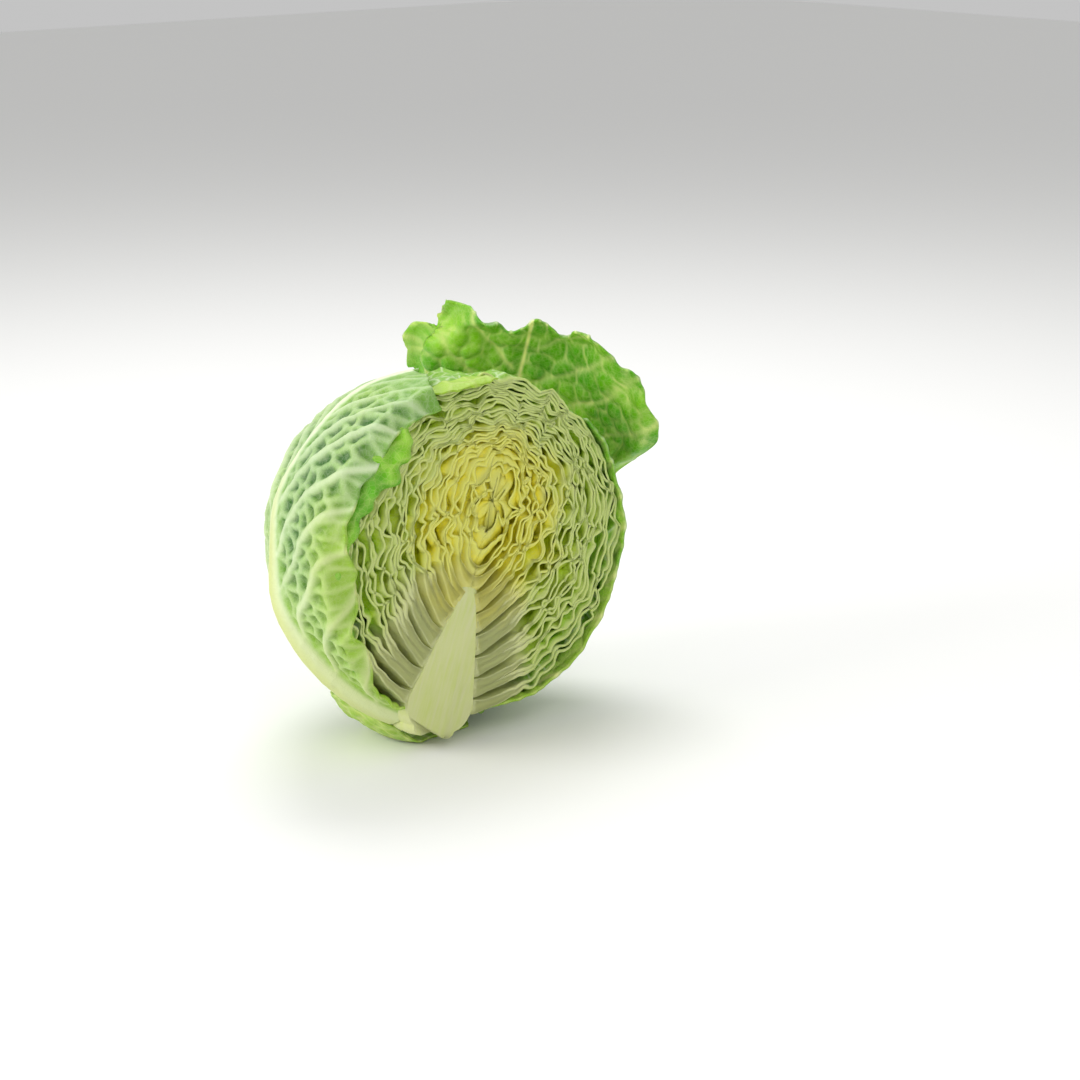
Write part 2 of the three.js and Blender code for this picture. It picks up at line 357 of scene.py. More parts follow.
def add(tree, kind, links=None, **settings):
    """A node with its settings, and links into it: {socket: output or value}."""
    node = tree.nodes.new(kind)
    for key, value in settings.items():
        setattr(node, key, value)
    for socket, source in (links or {}).items():
        if isinstance(source, bpy.types.NodeSocket):
            tree.links.new(source, node.inputs[socket])
        else:
            node.inputs[socket].default_value = source
    return node


def new_material(name):
    """An empty material with an output, and its node tree."""
    material = bpy.data.materials.new(name)
    material.use_nodes = True
    tree = material.node_tree
    tree.nodes.clear()
    return material, tree


def mix_colour(tree, factor, first, second, mode="MIX"):
    """The output of a colour mix."""
    four = [c if isinstance(c, bpy.types.NodeSocket) else (*c, 1) for c in (first, second)]
    node = add(tree, "ShaderNodeMix", {0: factor, 6: four[0], 7: four[1]}, data_type="RGBA", blend_type=mode)
    return node.outputs[2]


def ramp(tree, value, low, high, at_low=0.0, at_high=1.0, kind="LINEAR"):
    """The output of a node that turns low to high into at_low to at_high."""
    return add(tree, "ShaderNodeMapRange", {"Value": value, "From Min": low, "From Max": high,
                                            "To Min": at_low, "To Max": at_high},
               interpolation_type=kind).outputs[0]


def calculate(tree, operation, *values):
    """The output of a math node."""
    return add(tree, "ShaderNodeMath", dict(enumerate(values)), operation=operation).outputs[0]


def marks_of(tree, *names):
    """The outputs that read a mesh's marks."""
    return {mark: add(tree, "ShaderNodeAttribute", attribute_name=mark).outputs["Fac"] for mark in names}


def clouds(tree, place, size, detail):
    """The output of soft noise with patches about size across."""
    return add(tree, "ShaderNodeTexNoise", {"Vector": place, "Scale": 1 / size,
                                            "Detail": detail}).outputs["Fac"]


def vein_lines(tree, place, size, width, strength):
    """Veins too fine for the mesh, on the borders of cells about size across."""
    net = add(tree, "ShaderNodeTexVoronoi", {"Vector": place, "Scale": 1 / size},
              feature="DISTANCE_TO_EDGE")
    return ramp(tree, net.outputs["Distance"], 0.0, width, strength, 0.0)


def tissue_shader(tree, tissue, bump, roughness, ior, glow, glow_colour, glow_depth):
    """Moist plant tissue that light passes into, as far as the material's output."""
    shader = add(tree, "ShaderNodeBsdfPrincipled",
                 {"Base Color": tissue, "Roughness": roughness, "IOR": ior, "Specular IOR Level": 0.3,
                  "Normal": bump.outputs[0], "Subsurface Weight": glow, "Subsurface Radius": glow_colour,
                  "Subsurface Scale": glow_depth})
    add(tree, "ShaderNodeOutputMaterial", {"Surface": shader.outputs[0]})


def leaf_material(name, tint, roughness, glow):
    """Packed leaf tissue: green at the rim of the head and yellow in the heart, pale where it is cut and in
    its ribs, with a fine vein net and a moist skin. Light passes into the thin blade, so it glows a little.

    The marks come with the mesh: tone from rim to heart, vein for ribs, edge for the cut, and the pit mark
    for the hollows deeper behind the cut, which take the hollow colours as painted shade.
    """
    material, tree = new_material(name)
    place = add(tree, "ShaderNodeTexCoord").outputs["Object"]
    marks = marks_of(tree, "vein", "edge", "pit_and_shade", "tone")
    uneven = calculate(tree, "MULTIPLY_ADD", clouds(tree, place, 16 * MM, 3.0), 0.45, -0.22)
    tone = calculate(tree, "ADD", marks["tone"], uneven)
    to_inner = ramp(tree, tone, 0.0, 0.42, kind="SMOOTHSTEP")
    to_heart = ramp(tree, tone, 0.42, 0.82, kind="SMOOTHSTEP")
    blade = mix_colour(tree, to_heart, mix_colour(tree, to_inner, tint.head, tint.inner), tint.heart)
    # Painted shade: the blades take deeper, more saturated colours down in the hollows behind the cut.
    hollow_shade = mix_colour(tree, to_heart, mix_colour(tree, to_inner, tint.head_hollow_shade, tint.inner_hollow_shade),
                        tint.heart_hollow_shade)
    to_rim = ramp(tree, tone, -0.40, 0.0, 0.85, 0.0)
    tissue = mix_colour(tree, marks["pit_and_shade"], blade, hollow_shade)
    tissue = mix_colour(tree, to_rim, tissue, tint.wrapper)
    rim_veins = calculate(tree, "MULTIPLY", vein_lines(tree, place, 10 * MM, 0.09, 0.8), to_rim)
    tissue = mix_colour(tree, rim_veins, tissue, tint.wrapper_vein)
    fine_veins = vein_lines(tree, place, 2.2 * MM, 0.10, 0.30)
    tissue = mix_colour(tree, fine_veins, tissue, tint.cut_edge)
    cut = mix_colour(tree, to_heart, tint.cut_edge, mixed(tint.cut_edge, tint.heart, 0.45))
    tissue = mix_colour(tree, marks["edge"], tissue, cut)
    rib = mix_colour(tree, to_heart, tint.rib, mixed(tint.rib, tint.heart, 0.5))
    tissue = mix_colour(tree, marks["vein"], tissue, rib)
    relief = calculate(tree, "ADD", fine_veins, clouds(tree, place, 1.4 * MM, 2.0))
    bump = add(tree, "ShaderNodeBump", {"Height": relief, "Strength": 0.35, "Distance": 0.25 * MM})
    tissue_shader(tree, tissue, bump, roughness, 1.42, glow, (1.0, 1.0, 0.35), 3.0 * MM)
    return material


def mixed(first, second, share):
    """A colour between two."""
    return tuple(a * (1 - share) + b * share for a, b in zip(first, second))


# ---------------------------------------------------------------- core and packed leaves

class CABBAGE_OT_core(bpy.types.Operator):
    """Models the cut core with its stem end"""
    bl_idname = "cabbage.core"
    bl_label = "Core"

    def execute(self, context):
        head, _, tint = sizes()
        profile = core_profile()
        rings = 72
        at, known = np.linspace(0, 1, rings), np.linspace(0, 1, len(profile))
        heights, radii = (np.interp(at, known, profile[:, i]) for i in (0, 1))
        bpy.ops.object.select_all(action="DESELECT")
        bpy.ops.mesh.primitive_cylinder_add(vertices=96, radius=1, depth=2, end_fill_type="NOTHING")
        core = context.object
        core.name = core.data.name = "core_cut"
        bpy.ops.object.mode_set(mode="EDIT")
        shape = bmesh.from_edit_mesh(core.data)
        upright = [e for e in shape.edges if abs(e.verts[0].co.z - e.verts[1].co.z) > 1]
        bmesh.ops.subdivide_edges(shape, edges=upright, cuts=rings - 2, use_grid_fill=True)
        for vert in shape.verts:
            row = int(round((vert.co.z + 1) / 2 * (rings - 1)))
            vert.co.x *= radii[row]
            vert.co.y *= radii[row]
            vert.co.z = heights[row]
        bmesh.update_edit_mesh(core.data)
        bpy.ops.mesh.select_all(action="SELECT")
        bpy.ops.mesh.remove_doubles(threshold=1e-6)
        bpy.ops.mesh.bisect(plane_co=(0, -head.cut_before_core, 0), plane_no=(0, 1, 0), use_fill=True,
                            clear_inner=True)
        bpy.ops.mesh.select_all(action="SELECT")
        bpy.ops.mesh.fill_holes(sides=0)
        bpy.ops.mesh.select_all(action="SELECT")
        bpy.ops.mesh.normals_make_consistent(inside=False)
        bpy.ops.object.mode_set(mode="OBJECT")
        where = np.array([v.co for v in core.data.vertices])
        rough = noise(where, 0.006, 3) * 0.0006 + noise(where, 0.0025, 4) * 0.0003
        away = smooth(-where[:, 2], STEM_END - 0.003, STEM_END) + 0.4 * smooth(where[:, 1], -0.0099, -0.006)
        out = where * [1, 1, 0]
        out /= np.linalg.norm(out, axis=1, keepdims=True) + 1e-9
        out[where[:, 1] < -head.cut_before_core + 1e-5, 1] = 0
        where = where + out * (rough * away)[:, None]
        end_face = where[:, 2] < -(STEM_END - 0.0005)
        where[:, 2] += np.where(end_face, noise(where, 0.004, 5) * 0.0012, 0)
        for vert, point in zip(core.data.vertices, to_world(where)):
            vert.co = point
        bpy.ops.object.select_all(action="DESELECT")
        core.select_set(True)
        bpy.ops.object.shade_smooth_by_angle(angle=math.radians(40))
        settle(core, ["core"], core_material(tint))
        return {"FINISHED"}


def core_material(tint):
    """Cut cabbage core: moist cream pith with greener fibres along the core."""
    material, tree = new_material("Cabbage core, cut pith")
    place = add(tree, "ShaderNodeTexCoord").outputs["Object"]
    head = sizes()[0]
    along = add(tree, "ShaderNodeMapping", {"Vector": place, "Rotation": (0, head.lean, 0),
                                            "Scale": (1, 1, 9)}, vector_type="TEXTURE").outputs[0]
    fibres = clouds(tree, along, 2.6 * MM, 4.0)
    streak = ramp(tree, fibres, 0.35, 0.68)
    pale = mix_colour(tree, streak, tint.core, mixed(tint.core, tint.inner, 0.65))
    pale = mix_colour(tree, clouds(tree, place, 14 * MM, 2.0), pale, mixed(tint.core, tint.rib, 0.9))
    bump = add(tree, "ShaderNodeBump", {"Height": fibres, "Strength": 0.4, "Distance": 0.6 * MM})
    tissue_shader(tree, pale, bump, 0.42, 1.42, 0.15, (1.0, 0.9, 0.5), 2 * MM)
    return material


CORE_OVERLAP = 0.0025  # the leaves' bases reach this far into the core, which they grow from
SEAM_TURNS = (-17, 0, 17, -8.5, 8.5)  # degrees that the seams turn about the core, layer by layer
RIM_TONES = {0: 0.30, 1: 0.12}  # how much greener the outermost layers are
# Depths behind the cut at which the crumpled edges are modelled finely
FINE_DEPTHS = np.array([0, 0.5, 1.1, 1.8, 2.6, 3.5, 4.5, 5.6, 6.8, 8.2, 9.8, 11.8]) * MM


def slice_depths(share):
    """Depths of the slices of a packed leaf: close together behind the cut, wider apart to the back."""
    head = sizes()[0]
    start, pole = -head.cut_before_core, share * head.depth_radius
    near = start + FINE_DEPTHS[FINE_DEPTHS < (pole - start) * 0.6]
    first = math.asin(max(-1, near[-1] / pole))
    far = pole * np.sin(np.linspace(first, math.pi / 2, 14))
    return np.concatenate([near, far[1:]])


def core_side(share, depth, sign):
    """The angle at which a packed leaf meets the core, on one side, in the slice at depth."""
    angles = np.linspace(0.3, math.pi - 0.004, 260)
    inside = in_core(section_point(share, sign * angles, np.full_like(angles, depth)), CORE_OVERLAP)
    return angles[np.argmax(inside)] if inside.any() else angles[-1]


def packed_sheet(name, layer, share, half, turn, fold):
    """One sheet of a packed leaf, from slice to slice: half is "whole", "right" or "left"."""
    head, leaves, _ = sizes()
    depths = slice_depths(share)
    low, high = [], []
    for depth in depths:
        right, left = core_side(share, depth, 1), -core_side(share, depth, -1)
        seam = -math.tan(turn) * depth / max(0.02, share * head.half_height)
        low.append(left if half != "right" else seam + 0.006)
        high.append(right if half != "left" else seam - 0.006)
    step = 1.05 * MM if layer < 8 else 0.85 * MM
    reach = 2 * math.pi * share * head.radius * (1 if half == "whole" else 0.5)
    columns = max(24, int(reach / step))
    along = np.linspace(0, 1, columns)
    angle = np.array(low)[:, None] + (np.array(high) - np.array(low))[:, None] * along
    depth = np.repeat(depths[:, None], columns, axis=1)
    base = section_point(np.full_like(angle, share), angle, depth)
    profile = core_profile()
    tip = profile[-1, 0]
    from_axis = np.hypot(base[..., 0], base[..., 1])
    from_core = np.where(base[..., 2] > tip, np.hypot(from_axis, base[..., 2] - tip),
                         from_axis - np.interp(base[..., 2], profile[:, 0], profile[:, 1]))
    low_part = smooth(-base[..., 2], -0.005, 0.030)
    free = smooth(from_core, 0.004, 0.030) * (1 - low_part) + smooth(from_core, 0.012, 0.048) * low_part
    inner = layer / (leaves.count - 1)
    seed = 1 + layer + fold * 0.5
    own = noise(base, 0.012 - 0.005 * inner, seed) + 0.55 * noise(base, 0.0055, seed + 20)
    middle_zone = 0.50 + 0.50 * smooth(layer, 0.5, 3)
    swell = 0.60 * leaves.pitch * own * (0.04 + 0.96 * free) * middle_zone
    side_by_side = 0.22 * leaves.pitch * (-1) ** int(layer) * (1 - free) * low_part
    spread = (fold - 0.5) * 0.5 * leaves.pitch * (0.12 + 0.88 * free)
    point = section_point(share + spread + side_by_side + swell, angle, depth)
    crumple = leaves.crumple * (0.05 + 0.95 * free)
    for axis, shift in ((0, 50), (2, 60)):
        wave = (noise(base, 0.019, shift) + 0.95 * noise(base, 0.0088, shift + 1)
                + 0.48 * noise(base, 0.0052, shift + 2 + 0.03 * layer) * (0.55 + 0.45 * middle_zone))
        point[..., axis] += crumple * wave
    rib_share = (1 - free) * low_part
    side = 0.80 + 0.20 * np.sin(angle * 3 + layer * 2.1)
    thick = leaves.blade * (1.05 - 0.15 * inner) + leaves.rib * rib_share ** 1.5 * side
    thick += 0.0026 * (1 - smooth(from_core, 0.0, 0.010)) * low_part  # ribs run together at the core
    point[..., 1] += 0.0007 * (1 - smooth(from_core, -0.0005, 0.0015))
    behind = depths - depths[0]
    edge = np.repeat(1 - smooth(behind, 0.0003, 0.0022)[:, None], columns, axis=1)
    vein = 0.95 * smooth(rib_share, 0.10, 0.60)
    tone = np.full_like(angle, inner - RIM_TONES.get(layer, 0))
    # Painted shade: the colour deepens with depth behind the cut, half as much on the ribs.
    hollow_shade = np.repeat(smooth(behind, 0.0012, 0.007)[:, None], columns, axis=1)
    hollow_shade = hollow_shade * (1 - 0.5 * smooth(rib_share, 0.3, 0.9))
    marks = {"vein": vein, "pit_and_shade": hollow_shade, "edge": 0.85 * edge, "tone": tone}
    return sheet_object(name, point, thick / 2, thick / 2, True, marks)


class CABBAGE_OT_packed_leaves(bpy.types.Operator):
    """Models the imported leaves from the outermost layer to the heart, with their crumpled cut edges"""
    bl_idname = "cabbage.packed_leaves"
    bl_label = "Packed leaves"

    def execute(self, context):
        _, leaves, tint = sizes()
        heart = leaf_material("Cabbage leaf, blanched heart", tint, 0.42, 0.28)
        inner = leaf_material("Cabbage leaf, pale inner", tint, 0.42, 0.26)
        outer = leaf_material("Cabbage leaf, light green", tint, 0.45, 0.24)
        for layer in range(leaves.count):
            share = leaves.first_share - layer * leaves.pitch - 0.023
            turn = math.radians(SEAM_TURNS[layer % len(SEAM_TURNS)])
            slot_name, material = ("head_leaf", outer)
            if layer >= 4:
                slot_name, material = ("inner_leaf", inner)
            if layer >= 9:
                slot_name, material = ("heart_leaf", heart)
            for half in (("whole",) if layer % 2 == 0 else ("right", "left")):
                node = f"head_leaf_{layer + 1:02d}" + ("" if half == "whole" else f"_{half}")
                parts = [packed_sheet(f"{node}_fold_{fold}", layer, share, half, turn, fold)
                         for fold in (0, 1)]
                settle(join_objects(node.replace("head_leaf", "packed_leaf"), parts), [node],
                       material)
        tip_share = leaves.first_share - leaves.count * leaves.pitch + 0.003
        parts = [packed_sheet(f"tip_{i}", leaves.count + 0.3 * i, tip_share * scale, "whole", 0, 0.5)
                 for i, scale in enumerate((0.95, 0.76, 0.58, 0.41, 0.25, 0.11))]
        settle(join_objects("growing_tip_buds", parts), ["growing_tip"], heart)
        return {"FINISHED"}


# ---------------------------------------------------------------- outer leaves

def cells(points, seeds_at):
    """Distance of each point to the nearest border between the cells round the seeds."""
    border = np.empty(len(points), dtype=np.float32)
    seeds = seeds_at.astype(np.float32)
    for start in range(0, len(points), 3000):
        part = points[start:start + 3000].astype(np.float32)
        apart = ((part[:, None, :] - seeds[None]) ** 2).sum(-1)
        pair = np.argpartition(apart, 1, axis=1)[:, :2]
        near = np.take_along_axis(apart, pair, axis=1)
        near.sort(axis=1)
        between = np.linalg.norm(seeds[pair[:, 0]] - seeds[pair[:, 1]], axis=1)
        border[start:start + 3000] = (near[:, 1] - near[:, 0]) / (2 * between + 1e-9)
    return border


def scatter(points, size, seed):
    """Seeds about size apart, spread over a surface given by its points."""
    rng = np.random.default_rng(seed)
    order = rng.permutation(len(points))
    grid, chosen = {}, []
    for i in order:
        p = points[i]
        key = tuple(int(c // size) for c in p)
        nearby = (q for shift in itertools.product((-1, 0, 1), repeat=3)
                  for q in grid.get((key[0] + shift[0], key[1] + shift[1], key[2] + shift[2]), ()))
        if not any((p[0] - q[0]) ** 2 + (p[1] - q[1]) ** 2 + (p[2] - q[2]) ** 2 < (0.78 * size) ** 2
                   for q in nearby):
            grid.setdefault(key, []).append(p)
            chosen.append(p)
    return np.array(chosen)


def vein_net(place, across, along, seed, blister, midrib, side_pitch, slope, line=1.0):
    """Veins and blisters of a savoy leaf: how much each point is vein, rib, side vein and blister.

    across and along are distances from the midrib and from the stem end of the leaf.
    """
    shape = across.shape
    flat = place.reshape(-1, 3)
    bent = flat + 0.0022 * np.stack([noise(flat, 0.014, seed + i) for i in (0, 1, 2)], -1)
    coarse = cells(bent, scatter(bent, blister, seed)).reshape(shape)
    fine = cells(bent, scatter(bent, blister * 0.42, seed + 1)).reshape(shape)
    wander = noise(place, 0.030, seed + 5) * 0.0075
    side = np.sign(across)
    run = along - np.abs(across) * slope + 2.2 * across ** 2 + wander + side * 0.31 * side_pitch
    step = run / side_pitch
    off = np.abs(step - np.round(step)) * side_pitch / math.hypot(1, slope)
    side_vein = np.exp(-(off / (0.0012 * line)) ** 2) * smooth(np.abs(across), 0.002, 0.006)
    rib_half = midrib * (0.25 + 0.75 * smooth(-along, -0.19, -0.02))
    rib = np.clip(1 - (np.abs(across) / rib_half) ** 2, 0, 1)
    from_rib = np.abs(across) - rib_half
    clear = smooth(off, 0.0004, 0.0028) * smooth(from_rib, 0.0, 0.006)
    raised_side = side_vein * smooth(from_rib, 0.0, 0.014)
    # The pit mask sinks the blisters and, in the leaf's material, also darkens them, partly as painted shade.
    pit_and_shade = smooth(coarse, 0.0004, blister * 0.24) * clear
    small = smooth(fine, 0.0, blister * 0.13)
    net = np.exp(-(coarse / (0.00062 * line)) ** 2)
    fine_net = np.exp(-(fine / (0.00045 * line)) ** 2)
    vein = np.clip(np.maximum.reduce([0.70 * net, 0.9 * side_vein, 0.30 * fine_net]), 0, 1)
    return {"vein": vein, "rib": rib, "side": raised_side, "pit_and_shade": pit_and_shade, "small": small}


def outer_patch(share, rise, facing, low, high, left, right, rows, columns):
    """A grid on a loose leaf's shape: points, distance from the midrib and along it, and its own u and v.

    low is the latitude at the stem; high(u) the latitude of the far margin; left and right give the
    longitudes of the side margins at each latitude.
    """
    u, v = unit_grid(rows, columns, -1)
    latitude = low + v * (high(u) - low)
    first, last = left(latitude), right(latitude)
    longitude = first + (last - first) * (u + 1) / 2
    point = egg_point(share, longitude, latitude, rise)
    head = sizes()[0]
    across = (longitude - facing) * np.sin(latitude) * share * head.radius
    along = latitude * share * head.radius
    return point, across, along, u, v, latitude


def soften(grid, times):
    """A grid of values averaged with its neighbours, so that slanting ridges run smoothly."""
    for _ in range(times):
        for axis in (0, 1):
            wide = np.pad(grid, [(1, 1) if a == axis else (0, 0) for a in (0, 1)], mode="edge")
            before, after = (wide[:-2], wide[2:]) if axis == 0 else (wide[:, :-2], wide[:, 2:])
            grid = 0.5 * grid + 0.25 * (before + after)
    return grid


def savoy_sheet(name, point, net, thick, depth, rib_height, upper=(0.0, 1.0), margin=0.0):
    """A leaf sheet whose blade sinks between its veins; the rib stands out on the underside only."""
    sink = depth * soften(net["pit_and_shade"] * 0.85 + 0.15 * net["pit_and_shade"] * net["small"], 2)
    raised = soften(0.0009 * net["side"] + 0.00035 * net["vein"], 1)
    middle = point - outward(point) * sink[..., None]
    under = thick / 2 + raised * 1.6 + rib_height * net["rib"]
    over = thick / 2 - 0.00015 * net["vein"]
    vein = soften(np.clip(np.maximum(net["vein"], smooth(net["rib"], 0, 0.25)), 0, 1), 1)
    full = np.ones_like(vein)
    # The pit mark also darkens the hollows' colour, partly as painted shade.
    marks = {"vein": vein, "pit_and_shade": net["pit_and_shade"], "upper": (full * upper[0], full * upper[1]),
             "margin": full * margin}
    return sheet_object(name, middle, under, over, False, marks)


def savoy_material(name, tint, roughness, glow):
    """Savoy leaf: the underside grey green with raised pale veins and darker hollows under a waxy bloom, the
    hollows partly their own deeper green and partly painted shade; the upper side glossy bright green with
    sunken yellow veins. Light glows through the thin blade."""
    material, tree = new_material(name)
    place = add(tree, "ShaderNodeTexCoord").outputs["Object"]
    marks = marks_of(tree, "vein", "pit_and_shade", "upper", "margin")
    fine_veins = vein_lines(tree, place, 2.4 * MM, 0.10, 1.0)
    patch = ramp(tree, clouds(tree, place, 30 * MM, 3.0), 0.4, 0.7)
    under = mix_colour(tree, patch, mixed(tint.wrapper, tint.wrapper_vein, 0.05),
                       mixed(tint.wrapper, tint.head, 0.50))
    # Painted shade on top of the pits' own deeper green: the hollows between the veins darken.
    under = mix_colour(tree, marks["pit_and_shade"], under, tint.wrapper_pit_and_shade)
    upper = mix_colour(tree, patch, tint.open_leaf, tint.open_light)
    blade = mix_colour(tree, marks["upper"], under, upper)
    # Lighter where the margin mark is set; on the wrappers near the stem this is partly painted bounce light.
    blade = mix_colour(tree, marks["margin"], blade, tint.head)
    under_vein = mix_colour(tree, marks["margin"], tint.wrapper_vein, mixed(tint.rib, tint.inner, 0.25))
    vein = mix_colour(tree, marks["upper"], under_vein, tint.open_vein)
    blade = mix_colour(tree, calculate(tree, "MULTIPLY", fine_veins, 0.14), blade, vein)
    skin = mix_colour(tree, marks["vein"], blade, vein)
    relief = calculate(tree, "ADD", fine_veins, clouds(tree, place, 1.0 * MM, 2.0))
    bump = add(tree, "ShaderNodeBump", {"Height": relief, "Strength": 0.4, "Distance": 0.3 * MM})
    tissue_shader(tree, skin, bump, roughness, 1.45, glow, (0.9, 1.0, 0.25), 2.5 * MM)
    return material


BEHIND_CUT = 0.0010  # how far the wrappers' bases stay behind the cut through the core


def cut_longitude(share, forward, side):
    """Longitudes of the line where a leaf is cut, forward of the core's axis, at a latitude."""
    head = sizes()[0]

    def at(latitude):
        near_stem = 1 - smooth(latitude, 0.35, 0.85)
        plane = forward + (head.cut_before_core - BEHIND_CUT - forward) * near_stem
        reach = np.clip(plane / (share * head.depth_radius * np.sin(latitude)), 0, 0.95)
        return math.pi + np.arcsin(reach) if side == "left" else -np.arcsin(reach)
    return at


class CABBAGE_OT_wrapper_leaves(bpy.types.Operator):
    """Models the two blistered leaves that wrap the head, with the left one's frill and torn flap"""
    bl_idname = "cabbage.wrapper_leaves"
    bl_label = "Wrapper leaves"

    def execute(self, context):
        _, leaves, tint = sizes()
        rad = math.radians
        waxy = savoy_material("Savoy leaf, waxy underside", tint, 0.42, 0.06)
        for side, share, facing, forward, far, top, seed in (
                ("left", 1.04, rad(159), 0.0185, rad(80), rad(151), 11),
                ("right", 0.985, rad(38), 0.0115, rad(104), rad(158), 41)):
            cut_side = cut_longitude(share, forward, side)
            far_side = lambda latitude, far=far: far + 0.06 * np.sin(latitude * 9)
            left, right = (far_side, cut_side) if side == "left" else (cut_side, far_side)
            high = lambda u, top=top: top - 0.16 * u ** 2 + 0.02 * np.sin(u * 11 + 1)
            point, across, along, u, _, latitude = outer_patch(
                share, None, facing, rad(9.5), high, left, right, 215, 180)
            net = vein_net(point, across, along, seed, leaves.blister, 0.0125, 0.027, 1.45)
            cut_u = u if side == "left" else -u
            near_cut = smooth(cut_u, 0.88, 1.0)
            ruffle = noise(point, 0.011, seed + 9)
            lobes = 0.5 + 0.5 * noise(point, 0.021, seed + 14)
            lift = near_cut * 0.0026 * ruffle + 0.0030 * noise(point, 0.045, seed + 8)
            low_lobes = 1 - smooth(latitude, 1.2, 1.7)
            lift -= ((0.004 + (0.008 + 0.008 * low_lobes) * lobes) * smooth(cut_u, 0.88, 1.0) ** 1.5
                     * smooth(latitude, 0.4, 0.8))
            if side == "right":
                lift = 0.0010 * ruffle
            lift = lift - 0.0035 * (1 - smooth(latitude, 0.25, 0.8))
            point = point + outward(point) * lift[..., None]
            point[..., 1] -= near_cut * smooth(latitude, 0.5, 0.9) * 0.002 * noise(point, 0.013, seed + 12)
            at_top = smooth(latitude, rad(120), rad(142))
            for part in ("pit_and_shade", "side"):
                net[part] = net[part] * (1 - 0.85 * np.maximum(near_cut, at_top))
            net["vein"] = net["vein"] * (1 - 0.45 * at_top)
            # Lighter near the cut, the paler leaf margin, and lighter towards the stem: the paler leaf base
            # with painted light bounced up from the floor on top.
            margin = np.maximum(0.75 * smooth(cut_u, 0.6, 1.0) * smooth(-latitude, -1.9, -1.3),
                                0.60 * (1 - smooth(latitude, 0.5, 1.5)))
            margin = np.maximum(margin, net["rib"] * smooth(-along, -0.21, -0.12))
            rib_height = 0.0070 * smooth(-along, -0.16, -0.05) + 0.0008
            parts = [savoy_sheet(f"wrapper_{side}_blade", point, net, leaves.blade * 1.2,
                                 leaves.blister_depth, rib_height, margin=margin)]
            if side == "left":
                parts += [frill_sheet(), flap_sheet()]
            settle(join_objects(f"wrapper_leaf_{side}_savoy", parts), [f"wrapper_leaf_{side}"],
                   waxy)
        return {"FINISHED"}


def plain_net(place, seed, blister):
    """Veins of a torn piece of leaf that has no midrib."""
    flat = place.reshape(-1, 3)
    coarse, fine = (cells(flat, scatter(flat, size, seed)).reshape(place.shape[:2])
                    for size in (blister, blister * 0.4))
    vein = np.clip(np.exp(-(coarse / 0.0006) ** 2) + 0.4 * np.exp(-(fine / 0.0004) ** 2), 0, 1)
    none = np.zeros_like(coarse)
    return {"vein": vein, "rib": none, "side": none, "pit_and_shade": smooth(coarse, 0, blister * 0.36),
            "small": smooth(fine, 0, blister * 0.13)}


def frill_sheet():
    """The ruffled green margin that curls out between the left wrapper and the cut face."""
    u, v = unit_grid(130, 30)
    angle = -np.radians(142 - 92 * v)
    width = smooth(v, 0, 0.12) * smooth(1 - v, 0, 0.15)
    broad = np.exp(-((v - 0.74) / 0.24) ** 2)
    depth = -0.005 - (0.007 + 0.010 * broad) * np.sin(u * 2.0) * (0.35 + 0.65 * width)
    share = 1.000 - (0.070 + 0.170 * broad) * u * (0.4 + 0.6 * width)
    point = section_point(share, angle, np.full_like(angle, -0.008))
    point[..., 1] = depth
    turn = noise(point * [1, 0.3, 1], 0.0085, 71)
    sway = u ** 1.3 * (0.25 + 0.75 * width)
    radial = np.stack([np.sin(angle), 0 * angle, np.cos(angle)], -1)
    point = point + radial * (sway * 0.0062 * turn)[..., None]
    point[..., 1] += 0.0050 * sway * noise(point, 0.0085, 72)
    net = plain_net(point, 73, 0.008)
    net["vein"] = net["vein"] * 0.22
    return savoy_sheet("wrapper_left_frill", point, net, 0.0008, 0.0012, np.zeros_like(u), upper=(1.0, 1.0))


def flap_sheet():
    """The torn pale flap that folds over the rim at the top left of the cut."""
    u, v = unit_grid(60, 36)
    angle = -np.radians(40 - 21 * v) + 0.12 * (u - 0.5)
    reach = (0.55 + 0.45 * smooth(v, 0, 0.3)) * (1 - 0.55 * smooth(v, 0.55, 1.0))
    fold = u * reach * math.pi * 0.62
    share = 0.985 - 0.060 * (1 - np.cos(fold)) / 2 * 1.3
    point = section_point(share, angle, np.full_like(angle, -0.006))
    point[..., 1] = -0.006 - 0.0115 * np.sin(fold)
    point = point + 0.0016 * noise(point, 0.012, 81)[..., None]
    net = plain_net(point, 83, 0.013)
    net["vein"] = net["vein"] * 0.45
    return savoy_sheet("wrapper_left_flap", point, net, 0.0009, 0.0007, np.zeros_like(u), upper=(0.0, 0.0),
                       margin=1.0)


